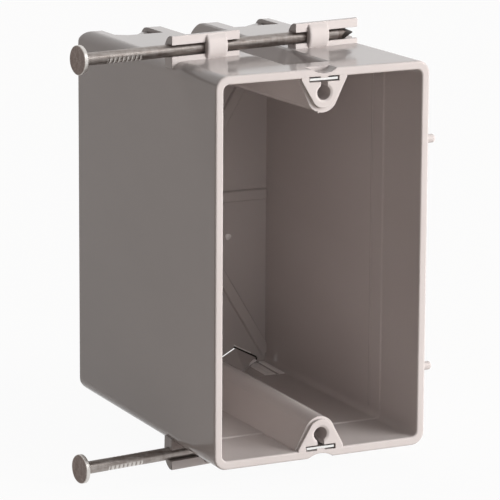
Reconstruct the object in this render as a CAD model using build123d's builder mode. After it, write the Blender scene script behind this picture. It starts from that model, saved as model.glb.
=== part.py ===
"""Single-gang nail-on outlet box: moulded body, two captive nails and two device-screw clips.

Millimetres. The origin is the centre of the open front, midway between the two device-screw
holes. +X points to the stud side, +Y into the wall cavity, +Z up.
"""
import os
from math import cos, radians, sin, tan

from build123d import *

# Device screws, which set the height
SCREW_SPACING = 83.34
SCREW_EDGE = 5.83       # screw axis to the outside of the top or bottom wall

# Shell
WIDTH = 57.0            # outside, at the front rim
HEIGHT = SCREW_SPACING + 2 * SCREW_EDGE
DEPTH = 81.0            # front rim to back face
WALL = 2.1              # side, top and bottom walls at the rim
BACK_WALL = 2.0
CORNER_R = 3.2          # long outside corners
INNER_R = 1.5           # long inside corners
SIDE_DRAFT = 1.1        # each side wall leans in by this much over the depth
TOP_DRAFT = 0.8
BACK_CORNER_R = 4.0     # top and bottom edges of the back, seen from the side
BACK_EDGE_R = 0.6
RIM_OUTER_R = 0.5
RIM_INNER_R = 0.45
BAND_DEPTH = 17.8       # thin-walled band behind the rim
BAND_BLEND = 0.4
BAND_STEP = 0.28        # how much thicker the walls are behind the band

# Device-screw bosses and the channels behind them
SCREW_HOLE_R = 1.75
BOSS_DEPTH = 9.0
BOSS_HALF_TOP = 6.5     # boss half width where it meets the wall
BOSS_HALF_LOW = 3.4
UPPER_TIP_DROP = 4.85   # lowest point of the boss, from the screw axis
LOWER_TIP_DROP = 4.25
BOSS_TIP_R = 3.3
BOSS_DROP = 1.7         # the channel gets this much deeper by the back wall
FACE_SET_BACK = 0.05    # raised face of the boss, behind the rim
FACE_STEP = 0.85        # shoulder of the boss, behind its face
FACE_INSET = 0.5
FACE_TIP_DROP = 3.65
HOLE_RIM_GROW = 0.55    # shallow countersink round the screw hole
HOLE_RIM_DEPTH = 0.25
CHANNEL_WALL = 2.0
SLOT_HALF = 4.0         # slot for the clip
SLOT_RISE = 3.33        # from the screw axis
SLOT_HEIGHT = 1.3
LUG_HALF = 1.05         # lug that presses on the clip from the middle of the slot's upper side
NECK_HALF = 0.9
SCOOP_R = 5.6
SCOOP_DEPTH = 1.15
SCOOP_LENGTH = 3.7

# Nails
NAIL_ANGLE = 7.15       # degrees, points lean towards the back
NAIL_Y = 29.66          # depth of the nail axis at the centre of the box
NAIL_RISE = 2.2         # nail axis above the outside of the top wall
SHANK_R = 1.525
HEAD_R = 3.58
HEAD_THICK = 1.1
HEAD_CONE = 0.9
NAIL_LENGTH = 79.0
HEAD_STAND_OFF = 24.9   # outer face of the head from the left wall
POINT_LENGTH = 4.2
GRIP_START = 7.6        # from the head face
GRIP_COUNT = 8
GRIP_PITCH = 1.2
GRIP_WIDTH = 0.5
GRIP_DEPTH = 0.12

# Nail brackets, measured across the nail axis
BORE_R = 1.60
LIP_FRONT = 1.95        # lips stand this far in front of the axis
LIP_LOW = 1.25          # lower edge of the opening below the axis
LIP_HIGH = 1.55         # upper edge of the opening above the axis
BRACKET_RISE = 3.7      # top of the bracket above the axis
BRACKET_BACK = 2.3
LEFT_INSET = 0.3        # outer end of the bracket from the side of the box
LEFT_LENGTH = 19.1
RIGHT_INSET = 3.1
RIGHT_LENGTH = 18.2
RIGHT_OPEN_END = 1.6
LEFT_STRAP = 12.4       # middle of the strap from the bracket's outer end
RIGHT_STRAP = 11.8
STRAP_WIDTH = 5.9
STRAP_BULGE = 1.25
STRAP_EDGE_R = 0.55

# Cable entries
ENTRY_INSET = 10.2      # middle of the entry from the inside of the side wall
ENTRY_HALF = 6.2
ENTRY_LENGTH = 13.6     # from the back face
FLAP_THICK = 1.0
FLAP_SLIT = 0.5
GABLE_SIDE_DROP = 2.1   # below the inside of the top wall
GABLE_TIP_DROP = 5.4
GABLE_LENGTH = 9.6      # from the back face
GABLE_STEP = 0.9        # height of the gable above the flap at its front

# Back wall ribs
RIB_RAISE = 0.35
RIB_WIDTH = 3.0
RIB_ANGLE = 31.0        # degrees from upright
RIB_END_GAP = 2.3       # from the inside of the side wall

# Stud side
PEG_Z = 28.15
PEG_Y = 1.3
PEG_R = 1.05
PEG_OUT = 2.1
PEG_END_R = 0.6
PAD_Y = 5.5             # middle of the pads
PAD_LENGTH = 5.0
PAD_OUT = 1.3
PADS = ((6.5, 20.0), (-20.0, -13.0))

# Device-screw clip
CLIP_THICK = 0.55
CLIP_HALF = 3.7
CLIP_LOW_HALF = 1.55
CLIP_REACH = 1.6        # how far the rear leg goes past the screw axis
CLIP_HOLE_R = 1.25
CLIP_SET_BACK = 0.3     # front edge behind the face of the boss
CLIP_GAP = 0.1

top_in = HEIGHT / 2 - WALL
side_in = WIDTH / 2 - WALL
back_in = DEPTH - BACK_WALL
screw_z = SCREW_SPACING / 2
slot_z = screw_z + SLOT_RISE
tip_drops = {1: UPPER_TIP_DROP, -1: LOWER_TIP_DROP}
entry_x = side_in - ENTRY_INSET
entry_start = DEPTH - ENTRY_LENGTH
gable_start = DEPTH - GABLE_LENGTH
gable_side = top_in - GABLE_SIDE_DROP
gable_tip = top_in - GABLE_TIP_DROP

angle = radians(NAIL_ANGLE)
nail_way = Vector(cos(angle), sin(angle), 0)
nail_z = HEIGHT / 2 + NAIL_RISE
head_face_x = -WIDTH / 2 - HEAD_STAND_OFF
left_bracket = (LEFT_INSET - WIDTH / 2, LEFT_INSET - WIDTH / 2 + LEFT_LENGTH)
right_bracket = (WIDTH / 2 - RIGHT_INSET - RIGHT_LENGTH, WIDTH / 2 - RIGHT_INSET)
strap_centres = (left_bracket[0] + LEFT_STRAP, right_bracket[1] - RIGHT_STRAP)


def at_depth(y):
    """Sketch plane parallel to the rim at depth y: local x is X, local y is Z."""
    return Plane.XZ.offset(-y)


def outer_top(y):
    """Height of the outside of the top wall at depth y."""
    return HEIGHT / 2 - TOP_DRAFT * y / DEPTH


def drafted(half, draft):
    """Corners of a wall outline that is `half` to each side at the rim and less at the back."""
    return [(-half, 0), (half, 0), (half - draft, DEPTH), (draft - half, DEPTH)]


def across_nail(x):
    """Sketch plane square to the nail axis where it crosses x: local x is back, local y is Z."""
    return Plane(
        origin=(x, NAIL_Y + x * tan(angle), 0),
        x_dir=(-sin(angle), cos(angle), 0),
        z_dir=(cos(angle), sin(angle), 0),
    )


def side_cut(x):
    """Sketch plane parallel to the side walls at x, its origin on the nail axis at that X."""
    return Plane(origin=(x, NAIL_Y + x * tan(angle), 0), x_dir=(0, 1, 0), z_dir=(1, 0, 0))


def along_nail(x0, x1):
    """Length along the nail axis between two X positions."""
    return (x1 - x0) / cos(angle)


# One strap over the upper nail, at the left bracket
with BuildPart() as strap:
    strap_top = nail_z + BRACKET_RISE - 0.3
    strap_low = nail_z - 2.6
    with BuildSketch(side_cut(strap_centres[0] - STRAP_WIDTH / 2 * cos(angle))):
        with BuildLine():
            Polyline(
                (-LIP_FRONT, strap_top),
                (0, strap_top),
                (0, strap_low),
                (-LIP_FRONT, strap_low),
            )
            ThreePointArc(
                (-LIP_FRONT, strap_top),
                (-LIP_FRONT - STRAP_BULGE, nail_z + 0.3),
                (-LIP_FRONT, strap_low),
            )
        make_face()
    extrude(amount=STRAP_WIDTH, dir=nail_way)
    fillet(strap.edges().filter_by(GeomType.CIRCLE), STRAP_EDGE_R)

with BuildPart() as box_body:
    # Outer shell: drafted plan crossed with drafted side view, so that every wall is flat
    with BuildSketch(Plane.XY):
        with BuildLine():
            Polyline(*drafted(WIDTH / 2, SIDE_DRAFT), close=True)
        make_face()
    extrude(amount=HEIGHT, both=True)
    with BuildSketch(Plane.YZ):
        with BuildLine():
            Polyline(*[(y, z) for z, y in drafted(HEIGHT / 2, TOP_DRAFT)], close=True)
        make_face()
    extrude(amount=WIDTH, both=True, mode=Mode.INTERSECT)
    fillet(box_body.edges().filter_by(lambda edge: abs((edge % 0.5).Y) > 0.9), CORNER_R)
    fillet(box_body.faces().sort_by(Axis.Y)[-1].edges(), BACK_EDGE_R)
    with BuildSketch(Plane.YZ):
        with Locations((DEPTH / 2, 0)):
            RectangleRounded(DEPTH, HEIGHT - 2 * TOP_DRAFT, BACK_CORNER_R)
        with Locations((DEPTH / 2 - BACK_CORNER_R, 0)):
            Rectangle(DEPTH, HEIGHT)
    extrude(amount=WIDTH, both=True, mode=Mode.INTERSECT)
    fillet(box_body.faces().sort_by(Axis.Y)[0].edges(), RIM_OUTER_R)

    # Cavity in three runs, band, step and rear, and the rounded inner edge of the rim
    runs = (
        (0, BAND_DEPTH, 0, 0),
        (BAND_DEPTH, BAND_DEPTH + BAND_BLEND, 0, BAND_STEP),
        (BAND_DEPTH + BAND_BLEND, back_in, BAND_STEP, BAND_STEP / 2),
    )
    for y0, y1, step0, step1 in runs:
        for y, step in ((y0, step0), (y1, step1)):
            with BuildSketch(at_depth(y)):
                RectangleRounded(
                    2 * (side_in - step - SIDE_DRAFT * y / DEPTH),
                    2 * (top_in - step - TOP_DRAFT * y / DEPTH),
                    INNER_R,
                )
        loft(mode=Mode.SUBTRACT)
    fillet(box_body.faces().sort_by(Axis.Y)[0].inner_wires()[0].edges(), RIM_INNER_R)

    # Ridges inside, from the shoulder of the boss to the back wall, and the raised face
    for s in (1, -1):
        shoulder = FACE_SET_BACK + FACE_STEP
        lengths = (
            (shoulder, back_in + 0.5, 0.0, tip_drops[s]),
            (FACE_SET_BACK, shoulder + 0.3, FACE_INSET, FACE_TIP_DROP),
        )
        for y0, y1, inset, tip_drop in lengths:
            for y in (y0, y1):
                tip = screw_z - tip_drop - BOSS_DROP * y / DEPTH
                low = tip + BOSS_TIP_R * 0.55
                half_low = BOSS_HALF_LOW - inset
                half_top = BOSS_HALF_TOP - inset
                root = top_in + WALL * 0.4 - TOP_DRAFT * y / DEPTH
                with BuildSketch(at_depth(y)):
                    with BuildLine():
                        Polyline(
                            (-half_low, s * low),
                            (-half_top, s * (top_in - 0.4)),
                            (-half_top, s * root),
                            (half_top, s * root),
                            (half_top, s * (top_in - 0.4)),
                            (half_low, s * low),
                        )
                        ThreePointArc((-half_low, s * low), (0, s * tip), (half_low, s * low))
                    make_face()
            loft()

    # Channels outside, open at the back
    for s in (1, -1):
        for y in (BOSS_DEPTH, DEPTH + 1):
            tip = screw_z - tip_drops[s] - BOSS_DROP * y / DEPTH + CHANNEL_WALL
            low = tip + (BOSS_TIP_R - CHANNEL_WALL) * 0.8
            edge = outer_top(y)
            half_low = BOSS_HALF_LOW - CHANNEL_WALL * 0.8
            half_top = BOSS_HALF_TOP - CHANNEL_WALL * 0.65
            with BuildSketch(at_depth(y)):
                with BuildLine():
                    Polyline(
                        (-half_low, s * low),
                        (-half_top, s * (edge - 0.9)),
                        (-half_top - 0.35, s * (edge - 0.3)),
                        (-half_top - 1.0, s * edge),
                        (-half_top - 1.0, s * (edge + 1)),
                        (half_top + 1.0, s * (edge + 1)),
                        (half_top + 1.0, s * edge),
                        (half_top + 0.35, s * (edge - 0.3)),
                        (half_top, s * (edge - 0.9)),
                        (half_low, s * low),
                    )
                    ThreePointArc((-half_low, s * low), (0, s * tip), (half_low, s * low))
                make_face()
        loft(mode=Mode.SUBTRACT)

    # Nail brackets: a C section along the nail with an opening towards the rim
    for s in (1, -1):
        for x0, x1 in (left_bracket, right_bracket):
            root = nail_z - 4.1
            top = nail_z + BRACKET_RISE
            with BuildSketch(side_cut(x0)):
                with BuildLine():
                    Polyline(
                        (-0.7, s * top),
                        (-LIP_FRONT, s * top),
                        (-LIP_FRONT, s * root),
                        (BRACKET_BACK - 0.2, s * root),
                        (BRACKET_BACK, s * (nail_z + 0.3)),
                    )
                    ThreePointArc(
                        (BRACKET_BACK, s * (nail_z + 0.3)),
                        (1.25, s * (nail_z + BRACKET_RISE - 1.25)),
                        (-0.7, s * top),
                    )
                make_face()
            extrude(amount=along_nail(x0, x1), dir=nail_way)
            with BuildSketch(side_cut(x0 - 1)):
                with Locations((-LIP_FRONT, s * (nail_z + (LIP_HIGH - LIP_LOW) / 2))):
                    Rectangle(2 * LIP_FRONT, LIP_HIGH + LIP_LOW)
            extrude(amount=along_nail(x0, x1) + 2, dir=nail_way, mode=Mode.SUBTRACT)
        with BuildSketch(side_cut(right_bracket[1] - RIGHT_OPEN_END)):
            with Locations((0, s * (nail_z + (LIP_HIGH - LIP_LOW) / 2))):
                Rectangle(4 * BRACKET_BACK, LIP_HIGH + LIP_LOW)
        extrude(amount=RIGHT_OPEN_END + 1, dir=nail_way, mode=Mode.SUBTRACT)

    # Straps that hold the nails in, then the bores
    for x in strap_centres:
        placed = strap.part.moved(Location(nail_way * along_nail(strap_centres[0], x)))
        add(placed)
        add(mirror(placed, about=Plane.XY, mode=Mode.PRIVATE))
    for s in (1, -1):
        with BuildSketch(across_nail(left_bracket[0] - 2)):
            with Locations((0, s * nail_z)):
                Circle(BORE_R)
        extrude(amount=along_nail(left_bracket[0], right_bracket[1]) + 4, mode=Mode.SUBTRACT)

    # Boss details: screw hole, clip slot with its lug, neck between them and the scoop in the rim
    for s in (1, -1):
        with BuildSketch(at_depth(-1)):
            with Locations((0, s * screw_z)):
                Circle(SCREW_HOLE_R)
            with Locations((0, s * slot_z)):
                Rectangle(2 * SLOT_HALF, SLOT_HEIGHT)
            with Locations((0, s * (slot_z + CLIP_THICK / 2 + SLOT_HEIGHT / 2))):
                Rectangle(2 * LUG_HALF, SLOT_HEIGHT, mode=Mode.SUBTRACT)
            with Locations((0, s * (screw_z + slot_z) / 2)):
                Rectangle(2 * NECK_HALF, slot_z - screw_z)
        extrude(amount=-(BOSS_DEPTH + 3), mode=Mode.SUBTRACT)
        for y, grow in ((FACE_SET_BACK, HOLE_RIM_GROW), (FACE_SET_BACK + HOLE_RIM_DEPTH, 0.0)):
            with BuildSketch(at_depth(y)):
                with Locations((0, s * screw_z)):
                    Circle(SCREW_HOLE_R + grow)
        loft(mode=Mode.SUBTRACT)
        with BuildSketch(at_depth(-1)):
            with Locations((0, s * (HEIGHT / 2 - SCOOP_DEPTH + SCOOP_R))):
                Circle(SCOOP_R)
        extrude(amount=-(SCOOP_LENGTH + 1), mode=Mode.SUBTRACT)

    # Cable entries: thinned flap, folded gable at its free edge, slits round it
    for s in (1, -1):
        for c in (-entry_x, entry_x):
            inner = top_in - BAND_STEP / 2 - TOP_DRAFT * entry_start / DEPTH
            flap_out = inner + FLAP_THICK
            # Thin the wall from outside
            with BuildSketch(at_depth(entry_start)):
                with Locations((c, s * (flap_out + 3))):
                    Rectangle(2 * ENTRY_HALF, 6)
            extrude(amount=-(DEPTH - entry_start + 1), mode=Mode.SUBTRACT)
            # Opening in the back wall under the gable
            with BuildSketch(at_depth(back_in - FLAP_SLIT)):
                with BuildLine():
                    Polyline(
                        (c - ENTRY_HALF, s * (flap_out + 1)),
                        (c + ENTRY_HALF, s * (flap_out + 1)),
                        (c + ENTRY_HALF, s * gable_side),
                        (c, s * gable_tip),
                        (c - ENTRY_HALF, s * gable_side),
                        close=True,
                    )
                make_face()
            extrude(amount=-(BACK_WALL + FLAP_SLIT + 1), mode=Mode.SUBTRACT)
            # Folded part of the flap, solid first and then hollowed from outside
            for grow, mode in ((0.0, Mode.ADD), (FLAP_THICK, Mode.SUBTRACT)):
                front = inner - GABLE_STEP + grow
                ends = (
                    (gable_start + 2 * grow, c * 0.93, 0.3, front, front - 0.05),
                    (back_in - FLAP_SLIT, c, ENTRY_HALF, gable_side + grow, gable_tip + grow),
                )
                for y, mid, half, side, tip in ends:
                    base = flap_out + (grow - 0.5) * 0.6
                    with BuildSketch(at_depth(y)):
                        with BuildLine():
                            Polyline(
                                (mid - half, s * base),
                                (mid + half, s * base),
                                (mid + half, s * side),
                                (mid, s * tip),
                                (mid - half, s * side),
                                close=True,
                            )
                        make_face()
                loft(ruled=True, mode=mode)
            # Shallow groove that lets the flap bend
            with BuildSketch(at_depth(entry_start - 2.4)):
                with Locations((c, s * inner)):
                    Rectangle(2 * ENTRY_HALF, 0.5)
            extrude(amount=-0.5, mode=Mode.SUBTRACT)
            # Slits along both sides of the flap
            for edge in (-1, 1):
                with BuildSketch(at_depth(entry_start)):
                    with Locations((c + edge * (ENTRY_HALF - FLAP_SLIT / 2), s * (inner - 2))):
                        Rectangle(FLAP_SLIT, 12)
                extrude(amount=-(back_in - entry_start), mode=Mode.SUBTRACT)

    # Shallow ribs on the inside of the back wall
    rib_reach = side_in / sin(radians(RIB_ANGLE)) - RIB_END_GAP
    with BuildSketch(at_depth(back_in + 0.2)):
        for direction in (-1, 1):
            Rectangle(RIB_WIDTH, 2 * rib_reach, rotation=direction * RIB_ANGLE)
        with Locations((0, 0.5)):
            Rectangle(2 * (side_in - 2.0), RIB_WIDTH)
    extrude(amount=RIB_RAISE + 0.2)

    # Pegs and pads on the stud side, square to its drafted wall
    stud_wall = Plane(
        origin=(WIDTH / 2, 0, 0), x_dir=(-SIDE_DRAFT, DEPTH, 0), z_dir=(DEPTH, SIDE_DRAFT, 0)
    )
    with BuildSketch(stud_wall.offset(-1)):
        with Locations((PEG_Y, PEG_Z), (PEG_Y, -PEG_Z)):
            Circle(PEG_R)
    extrude(amount=PEG_OUT + 1)
    fillet(box_body.faces().sort_by(Axis.X)[-2:].edges(), PEG_END_R)
    with BuildSketch(stud_wall.offset(-1)):
        for z0, z1 in PADS:
            with Locations((PAD_Y, (z0 + z1) / 2)):
                Rectangle(PAD_LENGTH, z1 - z0)
    extrude(amount=PAD_OUT + 1)
box_body.part.label = "box_body"


def nail_plane(s, along=0.0):
    """Plane square to a nail, `along` mm from the outer face of its head towards the point."""
    start = across_nail(head_face_x)
    return Plane(
        origin=start.origin + Vector(0, 0, s * nail_z) + start.z_dir * along,
        x_dir=start.x_dir,
        z_dir=start.z_dir,
    )


def nail_half_profile():
    """Half outline of head and shank: first value is the radius, second runs to the point."""
    grips = []
    for i in range(GRIP_COUNT):
        y = GRIP_START + i * GRIP_PITCH
        grips += [
            (SHANK_R, y),
            (SHANK_R - GRIP_DEPTH, y + GRIP_WIDTH * 0.3),
            (SHANK_R - GRIP_DEPTH, y + GRIP_WIDTH * 0.7),
            (SHANK_R, y + GRIP_WIDTH),
        ]
    return [
        (0, 0),
        (HEAD_R - 0.25, 0),
        (HEAD_R, 0.25),
        (HEAD_R, HEAD_THICK - 0.2),
        (HEAD_R - 0.2, HEAD_THICK),
        (SHANK_R + 0.5, HEAD_THICK + 0.1),
        (SHANK_R, HEAD_THICK + HEAD_CONE),
        *grips,
        (SHANK_R, NAIL_LENGTH - POINT_LENGTH),
        (0, NAIL_LENGTH - POINT_LENGTH),
    ]


def half_section(s):
    """Plane through a nail axis: local x is the radius, local y runs to the point."""
    end = nail_plane(s)
    return Plane(origin=end.origin, x_dir=end.x_dir, z_dir=-end.y_dir)


with BuildPart() as nail_upper:
    with BuildSketch(half_section(1)):
        with BuildLine():
            Polyline(*nail_half_profile(), close=True)
        make_face()
    revolve(axis=Axis(nail_plane(1).origin, nail_plane(1).z_dir))
    # Diamond point: the end of the wire cut back by a four-sided pyramid
    with BuildSketch(nail_plane(1, NAIL_LENGTH - POINT_LENGTH)):
        Circle(SHANK_R)
    with BuildSketch(nail_plane(1, NAIL_LENGTH)):
        Rectangle(0.3, 0.3, rotation=45)
    loft()
nail_upper.part.label = "nail_upper"

with BuildPart() as nail_lower:
    with BuildSketch(half_section(-1)):
        with BuildLine():
            Polyline(*nail_half_profile(), close=True)
        make_face()
    revolve(axis=Axis(nail_plane(-1).origin, nail_plane(-1).z_dir))
    with BuildSketch(nail_plane(-1, NAIL_LENGTH - POINT_LENGTH)):
        Circle(SHANK_R)
    with BuildSketch(nail_plane(-1, NAIL_LENGTH)):
        Rectangle(0.3, 0.3, rotation=45)
    loft()
nail_lower.part.label = "nail_lower"


def clip_outline(s):
    """Face of the clip's rear leg at X, Z: as wide as the slot above, narrow over the screw."""
    top = slot_z + CLIP_THICK / 2
    low = slot_z - SLOT_HEIGHT / 2 - 0.2
    return [
        (-CLIP_HALF, s * top),
        (CLIP_HALF, s * top),
        (CLIP_HALF, s * low),
        (CLIP_LOW_HALF, s * (screw_z - CLIP_REACH)),
        (-CLIP_LOW_HALF, s * (screw_z - CLIP_REACH)),
        (-CLIP_HALF, s * low),
    ]


with BuildPart() as screw_clip_upper:
    # Leg that lies in the slot, against the lug
    with BuildSketch(at_depth(CLIP_SET_BACK)):
        with Locations((0, slot_z)):
            Rectangle(2 * CLIP_HALF, CLIP_THICK)
    extrude(amount=-(BOSS_DEPTH - CLIP_SET_BACK + CLIP_GAP + CLIP_THICK))
    # Leg that hangs behind the boss, with the hole whose edge holds the screw
    with BuildSketch(at_depth(BOSS_DEPTH + CLIP_GAP)):
        with BuildLine():
            Polyline(*clip_outline(1), close=True)
        make_face()
        with Locations((0, screw_z)):
            Circle(CLIP_HOLE_R, mode=Mode.SUBTRACT)
    extrude(amount=-CLIP_THICK)
screw_clip_upper.part.label = "screw_clip_upper"

with BuildPart() as screw_clip_lower:
    with BuildSketch(at_depth(CLIP_SET_BACK)):
        with Locations((0, -slot_z)):
            Rectangle(2 * CLIP_HALF, CLIP_THICK)
    extrude(amount=-(BOSS_DEPTH - CLIP_SET_BACK + CLIP_GAP + CLIP_THICK))
    with BuildSketch(at_depth(BOSS_DEPTH + CLIP_GAP)):
        with BuildLine():
            Polyline(*clip_outline(-1), close=True)
        make_face()
        with Locations((0, -screw_z)):
            Circle(CLIP_HOLE_R, mode=Mode.SUBTRACT)
    extrude(amount=-CLIP_THICK)
screw_clip_lower.part.label = "screw_clip_lower"

os.makedirs("parts", exist_ok=True)
export_step(box_body.part, "parts/box_body.step")
export_step(nail_upper.part, "parts/nail_upper.step")
export_step(nail_lower.part, "parts/nail_lower.step")
export_step(screw_clip_upper.part, "parts/screw_clip_upper.step")
export_step(screw_clip_lower.part, "parts/screw_clip_lower.step")
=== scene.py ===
"""Looks of a nail-on outlet box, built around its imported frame.

Metres, in the frame of the solids: the origin is the centre of the open front, +X points to the
stud side, +Y into the wall cavity and +Z up.
"""
from __future__ import annotations

import logging
import math
from dataclasses import dataclass, field
from enum import Enum

import bpy
import numpy as np
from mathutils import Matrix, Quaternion, Vector

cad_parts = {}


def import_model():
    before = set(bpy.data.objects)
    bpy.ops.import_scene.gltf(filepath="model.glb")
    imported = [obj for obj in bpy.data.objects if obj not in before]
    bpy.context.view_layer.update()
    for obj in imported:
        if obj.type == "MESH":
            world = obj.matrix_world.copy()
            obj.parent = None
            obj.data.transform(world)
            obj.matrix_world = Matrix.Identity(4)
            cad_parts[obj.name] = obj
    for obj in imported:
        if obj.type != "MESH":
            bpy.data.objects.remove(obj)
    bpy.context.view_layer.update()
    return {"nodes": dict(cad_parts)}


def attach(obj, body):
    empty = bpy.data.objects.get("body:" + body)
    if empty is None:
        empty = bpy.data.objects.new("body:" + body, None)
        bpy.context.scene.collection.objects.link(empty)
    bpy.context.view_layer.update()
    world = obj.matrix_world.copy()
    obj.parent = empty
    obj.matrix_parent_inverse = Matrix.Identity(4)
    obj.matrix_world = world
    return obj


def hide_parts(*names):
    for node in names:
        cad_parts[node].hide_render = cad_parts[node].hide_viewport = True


log = logging.getLogger("outlet_box")
MM = 0.001
Colour = tuple[float, float, float]
# Near-black painted shade that stands in for the slits behind the cable flaps' gables.
PAINTED_GAP_SHADE_COLOUR, PAINTED_GAP_SHADE_CRAZE = (0.02, 0.018, 0.016), (0.03, 0.026, 0.023)
# Near-white plastic: painted light on the cable flaps' lip and patches, and stress whitening on
# the torn gate.
WHITENED_AND_PAINTED_LIGHT_COLOUR, WHITENED_AND_PAINTED_LIGHT_CRAZE = (0.93, 0.9, 0.88), (0.84, 0.8, 0.78)


class Body(Enum):
    """CAD bodies that a piece can ride on."""

    BOX = "box"
    UPPER_NAIL = "upper_nail"
    LOWER_NAIL = "lower_nail"


class Side(Enum):
    """Upper or lower half of the box, with the sign of its Z."""

    UPPER = 1
    LOWER = -1


class Graph:
    """Short way to write a material's node tree."""

    def __init__(self, name: str) -> None:
        """Makes an empty material.

        Args:
            name: the material's name.
        """
        self.material = bpy.data.materials.new(name)
        self.material.use_nodes = True
        self.tree = self.material.node_tree
        self.tree.nodes.clear()
        self.shader = self.add("ShaderNodeBsdfPrincipled")
        self.output = self.add("ShaderNodeOutputMaterial")
        self.link(self.shader, "BSDF", self.output, "Surface")
        self.place = self.add("ShaderNodeTexCoord")

    def add(self, kind: str, **settings: object) -> bpy.types.Node:
        """Adds a node.

        Args:
            kind: Blender's name of the node type.
            settings: attributes of the node, or its input sockets by name with _ for a space.

        Returns:
            The new node.
        """
        node = self.tree.nodes.new(kind)
        for key, value in settings.items():
            if hasattr(node, key):
                setattr(node, key, value)
            else:
                node.inputs[key.replace("_", " ")].default_value = value
        return node

    def link(self, a: bpy.types.Node, out: str | int, b: bpy.types.Node, into: str | int) -> None:
        """Joins output `out` of node a to input `into` of node b."""
        self.tree.links.new(a.outputs[out], b.inputs[into])

    def at(self, scale: Colour = (1.0, 1.0, 1.0),
           turn: Colour = (0.0, 0.0, 0.0)) -> bpy.types.Node:
        """Object coordinates, turned and then stretched.

        Args:
            scale: stretch along each axis.
            turn: Euler angles in radians.

        Returns:
            The Mapping node.
        """
        node = self.add("ShaderNodeMapping")
        node.inputs["Rotation"].default_value = turn
        node.inputs["Scale"].default_value = scale
        self.link(self.place, "Object", node, "Vector")
        return node

    def noise(self, where: bpy.types.Node, scale: float, detail: float = 3.0,
              rough: float = 0.5) -> bpy.types.Node:
        """Noise on mapped coordinates.

        Args:
            where: a Mapping node.
            scale: features per metre.
            detail: octaves.
            rough: share that each finer octave keeps.

        Returns:
            The Noise Texture node.
        """
        node = self.add("ShaderNodeTexNoise", Scale=scale, Detail=detail, Roughness=rough)
        self.link(where, "Vector", node, "Vector")
        return node

    def span(self, source: bpy.types.Node, out: str | int, low: float, high: float,
             to_low: float, to_high: float) -> bpy.types.Node:
        """Map Range from low..high to to_low..to_high, clamped, fed by `source`."""
        node = self.add("ShaderNodeMapRange")
        for name, value in zip(("From Min", "From Max", "To Min", "To Max"),
                               (low, high, to_low, to_high)):
            node.inputs[name].default_value = value
        self.link(source, out, node, "Value")
        return node

    def bump(self, height: bpy.types.Node, out: str | int, depth: float,
             before: bpy.types.Node | None = None) -> bpy.types.Node:
        """Bump of `depth` metres from `height`, laid over the bump `before`."""
        node = self.add("ShaderNodeBump", Strength=1.0, Distance=depth)
        self.link(height, out, node, "Height")
        if before is not None:
            self.link(before, "Normal", node, "Normal")
        return node

    def blend(self, factor: bpy.types.Node, out: str | int, a: Colour,
              b: Colour) -> bpy.types.Node:
        """Mixes colour a towards colour b by the factor."""
        node = self.add("ShaderNodeMix", data_type="RGBA")
        node.inputs[6].default_value = (*a, 1.0)
        node.inputs[7].default_value = (*b, 1.0)
        self.link(factor, out, node, 0)
        return node


@dataclass(frozen=True)
class MouldedPlastic:
    """Semi-gloss moulded plastic, with faint flow marks, uneven gloss and a slight swell."""

    colour: Colour = (0.53, 0.484, 0.468)
    flow_colour: Colour = (0.51, 0.463, 0.447)
    roughness: tuple[float, float] = (0.07, 0.14)
    refraction: float = 1.29
    edge_radius: float = 0.3 * MM
    # Warm tint on every reflection: a painted reflection colour that stands in for warm
    # surroundings.
    gloss_tint: Colour = (1.0, 0.74, 0.63)
    flow_scale: float = 45.0
    haze_scale: float = 240.0
    wave_scale: float = 60.0
    wave_depth: float = 0.02 * MM

    def material(self) -> bpy.types.Material:
        """Builds the material.

        Returns:
            A material that reads Object coordinates.
        """
        g = Graph("moulding")
        flow = g.noise(g.at((1.0, 0.35, 1.0)), self.flow_scale, 4.0)
        tint = g.blend(g.span(flow, "Fac", 0.35, 0.65, 0.0, 1.0), "Result",
                       self.colour, self.flow_colour)
        g.link(tint, 2, g.shader, "Base Color")
        haze = g.noise(g.at(), self.haze_scale, 5.0, 0.6)
        gloss = g.span(haze, "Fac", 0.3, 0.7, *self.roughness)
        g.link(gloss, "Result", g.shader, "Roughness")
        soft_edge = g.add("ShaderNodeBevel", samples=6, Radius=self.edge_radius)
        swell = g.noise(g.at(), self.wave_scale, 1.0)
        wave = g.bump(swell, "Fac", self.wave_depth, soft_edge)
        g.link(wave, "Normal", g.shader, "Normal")
        g.shader.inputs["IOR"].default_value = self.refraction
        # The specular tint paints warm surroundings into the reflections.
        g.shader.inputs["Specular Tint"].default_value = (*self.gloss_tint, 1.0)
        return g.material


@dataclass(frozen=True)
class CrazedMattPlastic:
    """Matt plastic with fine crazing in one colour: near-black painted shade in the slits behind
    the flap gables, and near-white for painted light on the flaps and the stress-whitened torn
    gate.
    """

    name: str
    colour: Colour
    craze_colour: Colour
    roughness: float = 0.34
    refraction: float = 1.29
    craze_scale: float = 900.0
    craze_depth: float = 0.03 * MM

    def material(self) -> bpy.types.Material:
        """Builds the material.

        Returns:
            A matt material with fine crazing across it.
        """
        g = Graph(self.name)
        craze = g.noise(g.at((1.0, 0.3, 1.0)), self.craze_scale, 4.0, 0.6)
        tint = g.blend(g.span(craze, "Fac", 0.4, 0.6, 0.0, 1.0), "Result",
                       self.colour, self.craze_colour)
        g.link(tint, 2, g.shader, "Base Color")
        g.shader.inputs["Roughness"].default_value = self.roughness
        g.shader.inputs["IOR"].default_value = self.refraction
        g.link(g.bump(craze, "Fac", self.craze_depth), "Normal", g.shader, "Normal")
        return g.material


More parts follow.
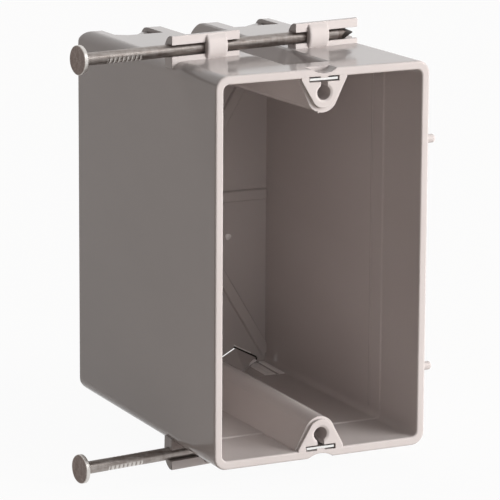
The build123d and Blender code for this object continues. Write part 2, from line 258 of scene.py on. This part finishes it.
@dataclass(frozen=True)
class DrawnSteel:
    """Drawn wire: brown scale where it was never rubbed, bright where the dies and straps rub it.

    The nail's own "wear" attribute runs from 0, dark scale, over 0.5, drawn surface, to 1, bright.
    """

    scale_colour: Colour = (0.05, 0.041, 0.036)
    head_colour: Colour = (0.15, 0.113, 0.098)
    drawn_colour: Colour = (0.32, 0.285, 0.265)
    bright_colour: Colour = (0.72, 0.69, 0.66)
    lean: float = math.radians(7.15)
    roughness: tuple[float, float] = (0.34, 0.48)
    streak_scale: float = 2200.0
    blotch_scale: float = 900.0
    streak_shift: float = 0.16
    blotch_shift: float = 0.14
    streak_depth: float = 0.003 * MM
    blotch_depth: float = 0.004 * MM

    def shifted(self, g: Graph, wear: bpy.types.Node, out: str | int, noise: bpy.types.Node,
                amount: float) -> bpy.types.Node:
        """Wear, moved up and down by half of `amount` where the noise is high and low.

        Args:
            g: the material's graph.
            wear: node that gives the wear.
            out: its output.
            noise: the noise node.
            amount: how far the wear moves in all.

        Returns:
            The Math node that gives the moved wear.
        """
        node = g.add("ShaderNodeMath", operation="MULTIPLY_ADD")
        node.inputs[1].default_value = amount
        g.link(g.span(noise, "Fac", 0.3, 0.7, -0.5, 0.5), "Result", node, 0)
        g.link(wear, out, node, 2)
        return node

    def material(self) -> bpy.types.Material:
        """Builds the material.

        Returns:
            A material with streaks along the wire and blotches of scale.
        """
        g = Graph("nail_steel")
        along = g.at((0.06, 1.0, 1.0), (0.0, 0.0, -self.lean))
        streak = g.noise(along, self.streak_scale, 3.0)
        blotch = g.noise(g.at((1.0, 1.0, 0.3)), self.blotch_scale, 4.0, 0.65)
        wear = g.add("ShaderNodeAttribute", attribute_name="wear")
        blotched = self.shifted(g, wear, "Fac", blotch, self.blotch_shift)
        streaked = self.shifted(g, blotched, 0, streak, self.streak_shift)
        tone = g.add("ShaderNodeValToRGB")
        stops = ((0.0, self.scale_colour), (0.25, self.head_colour),
                 (0.5, self.drawn_colour), (1.0, self.bright_colour))
        ramp = tone.color_ramp
        while len(ramp.elements) < len(stops):
            ramp.elements.new(0.5)
        for stop, (place, colour) in zip(ramp.elements, stops):
            stop.position = place
            stop.color = (*colour, 1.0)
        g.link(streaked, 0, tone, "Fac")
        g.link(tone, "Color", g.shader, "Base Color")
        gloss = g.span(streak, "Fac", 0.3, 0.7, *self.roughness)
        g.link(gloss, "Result", g.shader, "Roughness")
        fine = g.bump(streak, "Fac", self.streak_depth)
        pits = g.bump(blotch, "Fac", self.blotch_depth, fine)
        g.link(pits, "Normal", g.shader, "Normal")
        g.shader.inputs["Metallic"].default_value = 1.0
        return g.material


@dataclass(frozen=True)
class SheetSteel:
    """Bright plated sheet steel of the screw clips."""

    colour: Colour = (0.92, 0.91, 0.89)
    roughness: tuple[float, float] = (0.2, 0.38)
    rolling_scale: float = 3000.0
    rolling_depth: float = 0.006 * MM

    def material(self) -> bpy.types.Material:
        """Builds the material.

        Returns:
            A material with rolling marks across the sheet.
        """
        g = Graph("clip_steel")
        rolled = g.noise(g.at((1.0, 0.08, 1.0)), self.rolling_scale, 2.0)
        g.shader.inputs["Base Color"].default_value = (*self.colour, 1.0)
        gloss = g.span(rolled, "Fac", 0.3, 0.7, *self.roughness)
        g.link(gloss, "Result", g.shader, "Roughness")
        fine = g.bump(rolled, "Fac", self.rolling_depth)
        g.link(fine, "Normal", g.shader, "Normal")
        g.shader.inputs["Metallic"].default_value = 1.0
        return g.material


def seen_directly(tree: bpy.types.NodeTree) -> bpy.types.NodeSocket:
    """Factor that is 1 where the camera, a mirror or glass looks at the surface, and 0 elsewhere.

    Args:
        tree: the node tree to add it to.

    Returns:
        The factor's output socket.
    """
    path = tree.nodes.new("ShaderNodeLightPath")
    factor = path.outputs["Is Camera Ray"]
    for name in ("Is Glossy Ray", "Is Transmission Ray"):
        larger = tree.nodes.new("ShaderNodeMath")
        larger.operation = "MAXIMUM"
        tree.links.new(factor, larger.inputs[0])
        tree.links.new(path.outputs[name], larger.inputs[1])
        factor = larger.outputs[0]
    return factor


def dress(piece: bpy.types.Object, material: bpy.types.Material) -> None:
    """Gives a piece one material.

    Args:
        piece: a mesh object.
        material: its finish.
    """
    piece.data.materials.clear()
    piece.data.materials.append(material)


def add_to_box(piece: bpy.types.Object, finish: bpy.types.Material) -> None:
    """Dresses a piece of trim and makes it part of the moulding.

    Args:
        piece: a finished piece.
        finish: its material.
    """
    dress(piece, finish)
    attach(piece, Body.BOX.value)
    log.info("built %s", piece.name)


def surface_object(name: str, points: np.ndarray) -> bpy.types.Object:
    """Makes a closed mesh object from a grid of points.

    Quad (i, j) joins grid points (i, j), (i, j+1), (i+1, j+1) and (i+1, j), and the last column
    joins the first. The first and last rows are each closed by a fan from the row's mean.

    Args:
        name: the object's name.
        points: array of rows x columns x 3, in metres.

    Returns:
        The new object, linked to the scene.
    """
    rows, columns = points.shape[:2]
    here = np.arange(rows * columns).reshape(rows, columns)
    after = np.roll(here, -1, axis=1)
    quads = np.stack([here[:-1], after[:-1], after[1:], here[1:]], axis=-1).reshape(-1, 4)
    low = np.full(columns, rows * columns)
    first = np.stack([low, after[0], here[0]], axis=-1)
    last = np.stack([low + 1, here[-1], after[-1]], axis=-1)
    ends = np.array([points[0].mean(axis=0), points[-1].mean(axis=0)])
    places = np.concatenate([points.reshape(-1, 3), ends])
    corners = np.concatenate([quads.ravel(), first.ravel(), last.ravel()])
    sizes = np.concatenate([np.full(len(quads), 4), np.full(2 * columns, 3)])
    mesh = bpy.data.meshes.new(name)
    mesh.vertices.add(len(places))
    mesh.vertices.foreach_set("co", places.astype(np.float32).ravel())
    mesh.loops.add(len(corners))
    mesh.loops.foreach_set("vertex_index", corners.astype(np.int32))
    mesh.polygons.add(len(sizes))
    starts = np.concatenate([[0], np.cumsum(sizes)[:-1]])
    mesh.polygons.foreach_set("loop_start", starts.astype(np.int32))
    mesh.update(calc_edges=True)
    mesh.validate()
    piece = bpy.data.objects.new(name, mesh)
    bpy.context.scene.collection.objects.link(piece)
    return piece


def smooth(piece: bpy.types.Object, crease: float) -> None:
    """Shades a piece smooth, apart from edges that turn by more than `crease` degrees."""
    piece.data.shade_smooth()
    piece.data.set_sharp_from_angle(angle=math.radians(crease))


@dataclass
class WireNail:
    """Captive wire nail: flat head, die marks on two sides, drawn shank and diamond point."""

    side: Side
    node: str
    body: Body
    face_x: float = -53.4 * MM
    axis_depth: float = 29.66 * MM
    axis_height: float = 49.7 * MM
    lean: float = math.radians(7.15)
    shank_radius: float = 1.525 * MM
    head_radius: float = 3.58 * MM
    head_thick: float = 1.1 * MM
    cone: float = 0.9 * MM
    length: float = 79.0 * MM
    point_length: float = 4.2 * MM
    tip_half: float = 0.11 * MM
    mark_start: float = 7.6 * MM
    mark_pitch: float = 1.2 * MM
    mark_width: float = 0.78 * MM
    mark_depth: float = 0.14 * MM
    mark_count: int = 8
    mark_middle: float = math.pi + 0.72
    mark_reach: float = 0.78
    mark_slant: float = 0.12 * MM
    mark_step: float = 0.07 * MM
    before_marks: float = 0.8 * MM
    after_marks: float = 1.0 * MM
    before_point: float = 0.9 * MM
    face_round: float = 0.28 * MM
    back_round: float = 0.2 * MM
    face_middle: float = 0.08 * MM
    face_dent: float = 0.09 * MM
    flare: float = 0.62
    flare_power: float = 2.2
    point_turn: float = 0.4
    facet_edge: float = 0.12 * MM
    face_rows: int = 16
    oval: float = 0.016
    lobes: float = 0.009
    dent_share: float = 0.92
    face_wear: float = 0.24
    edge_wear: tuple[float, float] = (0.3, 0.95)
    cone_wear: tuple[float, float] = (0.7, 0.52)
    shank_wear: float = 0.5
    point_wear: float = 0.34
    crest_wear: float = 0.42
    notch_wear: float = 0.1
    facet_wear: float = 0.3
    columns: int = 112

    def outline(self) -> tuple[np.ndarray, np.ndarray, np.ndarray]:
        """Half outline of the nail, from the middle of its head to its point.

        The face of the head is flat with a rounded edge, a short cone joins the head to the
        shank, and the shank is straight. Rows are close together where the die marks are.

        Returns:
            Distance from the face, radius, and wear, as arrays of one length.
        """
        r, h, t = self.shank_radius, self.head_radius, self.head_thick
        turn = np.linspace(0.0, math.pi / 2, 6)
        face = np.linspace(self.face_middle, h - self.face_round, self.face_rows)
        edge_s = self.face_round * (1.0 - np.cos(turn))
        edge_r = h - self.face_round * (1.0 - np.sin(turn))
        back_s = t - self.back_round * (1.0 - np.sin(turn))
        back_r = h - self.back_round * (1.0 - np.cos(turn))
        under = np.linspace(0.0, 1.0, 10)[1:]
        under_s = t + self.cone * under
        under_r = r + (h * self.flare - r) * (1.0 - under) ** self.flare_power
        marks_from = self.mark_start - self.before_marks
        marks_end = self.mark_start + self.mark_count * self.mark_pitch + self.after_marks
        point_from = self.length - self.point_length - self.before_point
        plain = np.linspace(t + self.cone, marks_from, 14)[1:-1]
        marks = np.arange(marks_from, marks_end, self.mark_step)
        shank = np.linspace(marks_end, point_from, 40)
        point = np.linspace(point_from, self.length, 60)[1:]
        round_rows = len(plain) + len(marks) + len(shank) + len(point)
        distance = np.concatenate([np.zeros(self.face_rows), edge_s[1:], back_s, under_s, plain,
                                   marks, shank, point])
        radius = np.concatenate([face, edge_r[1:], back_r, under_r, np.full(round_rows, r)])
        wear = np.concatenate([np.full(self.face_rows, self.face_wear),
                               np.linspace(*self.edge_wear, len(edge_s) - 1),
                               np.ones(len(back_s)),
                               np.linspace(*self.cone_wear, len(under)),
                               np.full(len(plain), self.cone_wear[1]),
                               np.full(len(marks) + len(shank), self.shank_wear),
                               np.full(len(point), self.point_wear)])
        return distance, radius, wear

    def points(self) -> tuple[np.ndarray, np.ndarray]:
        """Places every point of the nail by distance along it and angle round it.

        Radius = the outline's radius, made a few hundredths uneven round the head; less a squared
        cosine for each die mark, which fades out with the angle from the marked sides; and never
        more than a square pyramid's half side over the larger of |cos| and |sin| of the angle.
        The face of the head is hollowed towards its middle by face_dent, unevenly round it.

        Returns:
            Points as rows x columns x 3, and their wear.
        """
        distance, radius, wear = self.outline()
        angle = np.arange(self.columns) * 2 * math.pi / self.columns
        s, a = np.meshgrid(distance, angle, indexing="ij")
        r = np.repeat(radius[:, None], self.columns, axis=1)
        w = np.repeat(wear[:, None], self.columns, axis=1)
        head = s <= self.head_thick + 1e-9
        uneven = (self.oval * (1.0 + np.sin(2.0 * a + 0.7)) / 2
                  + self.lobes * (1.0 + np.sin(5.0 * a)) / 2)
        r = np.where(head, r * (1.0 - uneven), r)
        dent = np.clip(1.0 - r / (self.head_radius * self.dent_share), 0.0, 1.0)
        hollow = self.face_dent * dent * (1.0 + 0.5 * np.sin(3.0 * a + 1.0))
        s = s + np.where(s <= 0.0, hollow, 0.0)
        turn = np.angle(np.exp(1j * (a - self.mark_middle)))
        turn = np.where(np.abs(turn) > math.pi / 2, turn - np.sign(turn) * math.pi, turn)
        fade = np.clip(1.0 - (turn / self.mark_reach) ** 4, 0.0, 1.0)
        along = (s - self.mark_slant * turn - self.mark_start) / self.mark_pitch
        inside = (along > 0.0) & (along < self.mark_count)
        phase = (along % 1.0 - 0.5) * self.mark_pitch / self.mark_width
        notch = np.where(inside & (np.abs(phase) < 0.5), np.cos(math.pi * phase) ** 2, 0.0) * fade
        crest = np.where(inside, 1.0 - notch, 0.0) * fade
        r = r - self.mark_depth * notch
        w = w + self.crest_wear * crest - self.notch_wear * notch
        to_point = np.maximum((self.length - s) / self.point_length, 0.0)
        half = self.tip_half + (self.shank_radius - self.tip_half) * to_point
        b = a - self.point_turn
        facet = half / np.maximum(np.abs(np.cos(b)), np.abs(np.sin(b)))
        cut = np.clip((r - facet) / self.facet_edge, 0.0, 1.0)
        r = np.minimum(r, facet)
        w = w - self.facet_wear * cut
        z_sign = float(self.side.value)
        way = np.array([math.cos(self.lean), math.sin(self.lean), 0.0])
        rear = np.array([-math.sin(self.lean), math.cos(self.lean), 0.0]) * z_sign
        up = np.array([0.0, 0.0, 1.0]) * z_sign
        face = np.array([self.face_x, self.axis_depth + self.face_x * math.tan(self.lean),
                         self.axis_height * z_sign])
        places = (face + s[..., None] * way + (r * np.cos(a))[..., None] * rear
                  + (r * np.sin(a))[..., None] * up)
        return places, w

    def build(self, finish: bpy.types.Material) -> None:
        """Makes the nail in place of its CAD node.

        Args:
            finish: the wire's material.
        """
        places, wear = self.points()
        nail = surface_object(f"wire_{self.node}", places)
        mesh = nail.data
        values = np.concatenate([wear.ravel(), wear[0].mean(keepdims=True),
                                 wear[-1].mean(keepdims=True)])
        layer = mesh.attributes.new("wear", "FLOAT", "POINT")
        layer.data.foreach_set("value", values.astype(np.float32))
        smooth(nail, 32.0)
        dress(nail, finish)
        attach(nail, self.body.value)
        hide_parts(self.node)
        log.info("built %s", nail.name)


def spread(count: int) -> np.ndarray:
    """Numbers from -1 to 1, sign(v) x |v|^0.6 of even steps v, so closer towards both ends."""
    v = np.linspace(-1.0, 1.0, count)
    return np.sign(v) * np.abs(v) ** 0.6


def band(name: str, start: Vector, end: Vector, facing: Vector, width: float,
         rise: float, power: float = 10.0) -> bpy.types.Object:
    """Makes a low straight band on a surface, closed all round.

    Along u, 0 to 1, it runs from start to end. Across v, -1 to 1, its height over the surface is
    rise x (1 - |v|^power) x (1 - |2u - 1|^40), and its foot is sunk by a fifth of its rise.

    Args:
        name: the piece's name.
        start: middle of one end, on the surface.
        end: middle of the other end.
        facing: the surface's normal.
        width: across the band.
        rise: its height.
        power: how square its shoulders are.

    Returns:
        The band.
    """
    u = np.linspace(0.0, 1.0, 48)
    along, across = np.meshgrid(u, spread(21), indexing="ij")
    way = (end - start).normalized()
    side = np.array(way.cross(facing).normalized())
    lift = rise * ((1.0 - np.abs(across) ** power) * (1.0 - np.abs(2 * along - 1) ** 40) - 0.2)
    places = (np.array(start) + along[..., None] * np.array(end - start)
              + across[..., None] * side * width / 2 + lift[..., None] * np.array(facing))
    piece = surface_object(name, places)
    smooth(piece, 60.0)
    return piece


def dome(name: str, middle: Vector, facing: Vector, radius: float,
         rise: float) -> bpy.types.Object:
    """Makes a low round mark on a surface.

    At distance p x radius from its middle, its height over the surface is rise x (1 - p^2)^2, and
    its edge is sunk by a tenth of its rise. The outline wavers by a tenth, as a torn gate does.

    Args:
        name: the piece's name.
        middle: the mark's middle, on the surface.
        facing: the surface's normal.
        radius: its size.
        rise: its height.

    Returns:
        The mark.
    """
    share = np.linspace(0.04, 1.0, 14)[::-1]
    angle = np.arange(40) * 2 * math.pi / 40
    p, a = np.meshgrid(share, angle, indexing="ij")
    first = np.array(facing.orthogonal().normalized())
    normal = np.array(facing.normalized())
    second = np.cross(normal, first)
    r = radius * p * (1.0 + 0.07 * np.sin(3.0 * a) + 0.04 * np.cos(7.0 * a))
    lift = rise * ((1.0 - p ** 2) ** 2 - 0.1)
    places = (np.array(middle) + (r * np.cos(a))[..., None] * first
              + (r * np.sin(a))[..., None] * second + lift[..., None] * normal)
    piece = surface_object(name, places)
    smooth(piece, 60.0)
    return piece


@dataclass
class MouldMarks:
    """What the mould leaves: a faint line up each side wall, a gate mark and a bit of flash."""

    line_depth: float = 23.4 * MM
    line_half_width: float = 25.82 * MM
    line_half_height: float = 43.6 * MM
    line_width: float = 0.9 * MM
    line_rise: float = 0.11 * MM
    line_power: float = 4.0
    draft: float = 0.0136
    gate: tuple[float, float, float] = (14.2 * MM, 79.0 * MM, -10.1 * MM)
    gate_radius: float = 1.0 * MM
    gate_rise: float = 0.3 * MM
    flash: tuple[float, float, float] = (-1.25 * MM, 0.95 * MM, 37.08 * MM)
    flash_radius: float = 0.42 * MM
    flash_rise: float = 0.45 * MM
    flash_facing: tuple[float, float, float] = (0.0, -0.5, -1.0)

    def build(self, finish: bpy.types.Material, white: bpy.types.Material) -> None:
        """Makes the marks.

        Args:
            finish: the moulding's material.
            white: finish of the torn gate.
        """
        for label, sign in (("left", -1.0), ("right", 1.0)):
            x = sign * self.line_half_width
            low = Vector((x, self.line_depth, -self.line_half_height))
            high = Vector((x, self.line_depth, self.line_half_height))
            inward = Vector((-sign, -self.draft, 0.0)).normalized()
            add_to_box(band(f"mould_line_{label}", low, high, inward, self.line_width,
                            self.line_rise, self.line_power), finish)
        add_to_box(dome("gate_mark", Vector(self.gate), Vector((0.0, -1.0, 0.0)),
                        self.gate_radius, self.gate_rise), white)
        add_to_box(dome("boss_flash", Vector(self.flash), Vector(self.flash_facing),
                        self.flash_radius, self.flash_rise), finish)


@dataclass
class CableFlap:
    """Trim of one cable entry: a near-black strip of painted shade in the slit behind its gable, a
    painted highlight on the lip over the slit and painted light on patches of the flap.

    Each place is given as x, y and height above the middle of the right upper entry; a tip,
    shoulder or foot has no y, because it lies on the back wall.
    """

    side: Side
    right: bool
    back_depth: float = 79.0 * MM
    tip: tuple[float, float] = (15.9 * MM, 39.75 * MM)
    shoulder: tuple[float, float] = (22.65 * MM, 43.2 * MM)
    foot: tuple[float, float] = (22.55 * MM, 44.45 * MM)
    gap_width: float = 0.5 * MM
    gap_rise: float = 0.12 * MM
    lip_width: float = 0.4 * MM
    lip_rise: float = 0.3 * MM
    lip_share: float = 0.75
    # Near-white bands of painted light: a strip beside the side slit, the flap's leaf and the roof
    # of its gable.
    bend_from: tuple[float, float, float] = (23.7 * MM, 78.6 * MM, 44.48 * MM)
    bend_to: tuple[float, float, float] = (23.2 * MM, 65.2 * MM, 44.56 * MM)
    bend_width: float = 1.7 * MM
    bend_rise: float = 0.35 * MM
    leaf_from: tuple[float, float, float] = (20.6 * MM, 77.2 * MM, 44.47 * MM)
    leaf_to: tuple[float, float, float] = (20.0 * MM, 65.6 * MM, 44.57 * MM)
    leaf_width: float = 3.2 * MM
    roof_from: tuple[float, float, float] = (21.3 * MM, 77.2 * MM, 43.5 * MM)
    roof_to: tuple[float, float, float] = (16.6 * MM, 73.6 * MM, 43.9 * MM)
    roof_width: float = 1.1 * MM
    roof_rise: float = 0.4 * MM
    lip_power: float = 4.0
    bend_power: float = 6.0

    def place(self, x: float, y: float, z: float) -> Vector:
        """Point of this flap, mirrored from the right upper entry to its own corner of the box."""
        return Vector((x if self.right else -x, y, z * self.side.value))

    def build(self, gap: bpy.types.Material, white: bpy.types.Material) -> None:
        """Makes the trim.

        Args:
            gap: near-black finish that paints the shade in the slit.
            white: near-white finish that paints light on the lip and on patches of the flap.
        """
        label = f"{self.side.name.lower()}_{'right' if self.right else 'left'}"
        tip = self.place(self.tip[0], self.back_depth, self.tip[1])
        shoulder = self.place(self.shoulder[0], self.back_depth, self.shoulder[1])
        foot = self.place(self.foot[0], self.back_depth, self.foot[1])
        front = Vector((0.0, -1.0, 0.0))
        inward = Vector((0.0, 0.0, -float(self.side.value)))
        lift = inward * (self.gap_width + self.lip_width) / 2
        # Near-black strips on the back wall paint the shade in the slit behind the gable.
        for part, start, end in (("gap", tip, shoulder), ("gap_end", shoulder, foot)):
            add_to_box(band(f"flap_{part}_{label}", start, end, front, self.gap_width,
                            self.gap_rise), gap)
        # A near-white lip over the slit: a painted highlight.
        add_to_box(band(f"flap_lip_{label}", tip + lift,
                        tip.lerp(shoulder, self.lip_share) + lift, front, self.lip_width,
                        self.lip_rise, self.lip_power), white)
        # Near-white patches paint light: the strip beside the side slit, the flap's leaf and its
        # roof.
        painted_light_patches = (("bend", self.bend_from, self.bend_to, self.bend_width, self.bend_rise),
                 ("leaf", self.leaf_from, self.leaf_to, self.leaf_width, self.bend_rise),
                 ("roof", self.roof_from, self.roof_to, self.roof_width, self.roof_rise))
        for part, start, end, width, rise in painted_light_patches:
            add_to_box(band(f"flap_{part}_{label}", self.place(*start), self.place(*end), inward,
                            width, rise, self.bend_power), white)


@dataclass
class BackRibs:
    """Raised ribs inside the back wall: a cross from corner to corner and a level one."""

    wall_depth: float = 79.0 * MM
    width: float = 3.0 * MM
    rise: float = 1.0 * MM
    lean: float = math.radians(31.0)
    reach: float = 48.9 * MM
    level_reach: float = 24.9 * MM
    level_height: float = 0.5 * MM
    power: float = 14.0
    sunk: float = 0.2 * MM
    rows: int = 60
    columns: int = 25

    def strip(self, name: str, middle: float, lean: float, reach: float) -> bpy.types.Object:
        """Makes one rib.

        Across the rib, its height is rise x (1 - |v|^power), v from -1 to 1, so it has a flat top
        and rounded shoulders, and its foot is sunk in the wall. Along the rib, it is straight.

        Args:
            name: the piece's name.
            middle: height of the rib's middle.
            lean: its angle from upright.
            reach: half its length.

        Returns:
            The rib.
        """
        u = np.linspace(-reach, reach, self.rows)
        along, across = np.meshgrid(u, spread(self.columns) * self.width / 2, indexing="ij")
        lift = self.rise * (1.0 - np.abs(2 * across / self.width) ** self.power) - self.sunk
        x = along * math.sin(lean) + across * math.cos(lean)
        z = middle + along * math.cos(lean) - across * math.sin(lean)
        rib = surface_object(name, np.stack([x, self.wall_depth - lift, z], axis=-1))
        smooth(rib, 50.0)
        return rib

    def build(self, finish: bpy.types.Material) -> None:
        """Makes the three ribs.

        Args:
            finish: the moulding's material.
        """
        ribs = [self.strip("rib_rising", 0.0, self.lean, self.reach),
                self.strip("rib_falling", 0.0, -self.lean, self.reach),
                self.strip("rib_level", self.level_height, math.pi / 2, self.level_reach)]
        for rib in ribs:
            add_to_box(rib, finish)


def towards(azimuth: float, elevation: float) -> Vector:
    """Unit vector from the box to a place in the studio.

    Args:
        azimuth: degrees from the front of the box towards its stud side.
        elevation: degrees over the level.

    Returns:
        The vector.
    """
    a, e = math.radians(azimuth), math.radians(elevation)
    return Vector((math.sin(a) * math.cos(e), -math.cos(a) * math.cos(e), math.sin(e)))


@dataclass
class Lamp:
    """A rectangular soft light aimed at the middle of the box.

    Where it isn't mirrored, glossy surfaces don't show its image.
    """

    name: str
    azimuth: float
    elevation: float
    distance: float
    size: tuple[float, float]
    watts: float
    mirrored: bool = True

    def build(self, aim: Vector) -> None:
        """Makes the light.

        Args:
            aim: the point that it faces.
        """
        data = bpy.data.lights.new(self.name, "AREA")
        data.shape = "RECTANGLE"
        data.size, data.size_y = self.size
        data.energy = self.watts
        lamp = bpy.data.objects.new(self.name, data)
        back = towards(self.azimuth, self.elevation)
        lamp.location = aim + back * self.distance
        lamp.rotation_euler = (-back).to_track_quat("-Z", "Y").to_euler()
        lamp.visible_glossy = self.mirrored
        bpy.context.scene.collection.objects.link(lamp)


@dataclass
class Studio:
    """Camera at the photograph's angle, soft lamps, pale floor and white surroundings."""

    azimuth: float = -28.016
    elevation: float = 12.876
    roll: float = 0.32
    distance: float = 0.85806
    lens: float = 259.56
    sensor: float = 36.0
    aim_right: float = -0.01733
    aim_up: float = 0.00349
    floor_z: float = -0.0534
    floor_half: float = 1.5
    floor_glow: float = 0.95
    floor_colour: Colour = (0.56, 0.51, 0.48)
    lamp_aim: tuple[float, float, float] = (0.0, 0.04, 0.0)
    ambient: float = 0.02
    lamps: list[Lamp] = field(default_factory=lambda: [
        Lamp("key_lamp", 46.0, 5.0, 1.8, (1.3, 1.3), 81.0, mirrored=False),
        Lamp("front_lamp", 0.0, 14.0, 1.8, (0.9, 0.9), 3.5),
        Lamp("shine_lamp", 31.0, 30.0, 1.8, (0.9, 0.24), 4.0),
        Lamp("top_lamp", 20.0, 80.0, 1.8, (0.9, 0.9), 5.0, mirrored=False),
        Lamp("rear_lamp", 180.0, 28.0, 1.8, (2.0, 1.4), 16.0, mirrored=False),
    ])

    def camera(self) -> None:
        """Makes the camera and sets it as the scene's camera."""
        back = towards(self.azimuth, self.elevation)
        right = towards(self.azimuth + 90.0, 0.0)
        target = right * self.aim_right + back.cross(right) * self.aim_up
        data = bpy.data.cameras.new("camera")
        data.sensor_width, data.lens = self.sensor, self.lens
        data.clip_start, data.clip_end = 0.01, 20.0
        camera = bpy.data.objects.new("camera", data)
        camera.location = back * self.distance
        camera.rotation_mode = "QUATERNION"
        facing = (target - camera.location).to_track_quat("-Z", "Y")
        camera.rotation_quaternion = facing @ Quaternion((0.0, 0.0, 1.0), math.radians(self.roll))
        bpy.context.scene.collection.objects.link(camera)
        bpy.context.scene.camera = camera

    def world(self) -> None:
        """Sets even ambient light that the camera and mirrors see as white."""
        world = bpy.data.worlds.new("studio")
        bpy.context.scene.world = world
        world.use_nodes = True
        tree = world.node_tree
        tree.nodes.clear()
        shade = tree.nodes.new("ShaderNodeBackground")
        white = tree.nodes.new("ShaderNodeBackground")
        mix = tree.nodes.new("ShaderNodeMixShader")
        out = tree.nodes.new("ShaderNodeOutputWorld")
        shade.inputs["Color"].default_value = (1.0, 1.0, 1.0, 1.0)
        shade.inputs["Strength"].default_value = self.ambient
        white.inputs["Color"].default_value = (1.0, 1.0, 1.0, 1.0)
        white.inputs["Strength"].default_value = 1.0
        tree.links.new(seen_directly(tree), mix.inputs[0])
        tree.links.new(shade.outputs[0], mix.inputs[1])
        tree.links.new(white.outputs[0], mix.inputs[2])
        tree.links.new(mix.outputs[0], out.inputs["Surface"])

    def floor(self) -> None:
        """Makes the pale floor, which the camera and mirrors see as nearly white."""
        h, z = self.floor_half, self.floor_z
        mesh = bpy.data.meshes.new("floor")
        mesh.from_pydata([(-h, -h, z), (h, -h, z), (h, h, z), (-h, h, z)], [], [(0, 1, 2, 3)])
        floor = bpy.data.objects.new("floor", mesh)
        bpy.context.scene.collection.objects.link(floor)
        g = Graph("floor")
        g.shader.inputs["Base Color"].default_value = (*self.floor_colour, 1.0)
        g.shader.inputs["Roughness"].default_value = 1.0
        g.shader.inputs["Specular IOR Level"].default_value = 0.0
        glow = g.add("ShaderNodeEmission", Strength=1.0)
        seen = g.add("ShaderNodeMixShader", Fac=self.floor_glow)
        g.link(g.shader, "BSDF", seen, 1)
        g.link(glow, 0, seen, 2)
        mix = g.add("ShaderNodeMixShader")
        g.tree.links.new(seen_directly(g.tree), mix.inputs[0])
        g.link(g.shader, "BSDF", mix, 1)
        g.link(seen, 0, mix, 2)
        g.link(mix, 0, g.output, "Surface")
        dress(floor, g.material)

    def build(self) -> None:
        """Makes the camera, world, lamps and floor, with plain colour management."""
        bpy.context.scene.view_settings.view_transform = "Standard"
        self.camera()
        self.world()
        for lamp in self.lamps:
            lamp.build(Vector(self.lamp_aim))
        self.floor()


def main() -> None:
    """Loads the frame, dresses every piece and sets up the studio."""
    logging.basicConfig(level=logging.INFO, format="%(name)s: %(message)s")
    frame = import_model()
    Studio().build()
    plastic = MouldedPlastic().material()
    wire = DrawnSteel().material()
    sheet = SheetSteel().material()
    finishes = {"box": plastic, "nail": wire, "screw": sheet}
    for name, node in frame["nodes"].items():
        dress(node, finishes[name.split("_")[0]])
        log.info("dressed %s", name)
    for side in Side:
        label = side.name.lower()
        WireNail(side, f"nail_{label}", Body[f"{side.name}_NAIL"]).build(wire)
    BackRibs().build(plastic)
    # Near-black painted shade for the slits behind the flap gables; near-white for painted light
    # on the flaps and the stress-whitened torn gate.
    gap = CrazedMattPlastic("moulding_painted_gap_shade", PAINTED_GAP_SHADE_COLOUR, PAINTED_GAP_SHADE_CRAZE).material()
    white = CrazedMattPlastic("moulding_whitened_and_painted_light", WHITENED_AND_PAINTED_LIGHT_COLOUR, WHITENED_AND_PAINTED_LIGHT_CRAZE).material()
    for side in Side:
        for right in (True, False):
            CableFlap(side, right).build(gap, white)
    MouldMarks().build(plastic, white)


if __name__ == "__main__":
    main()
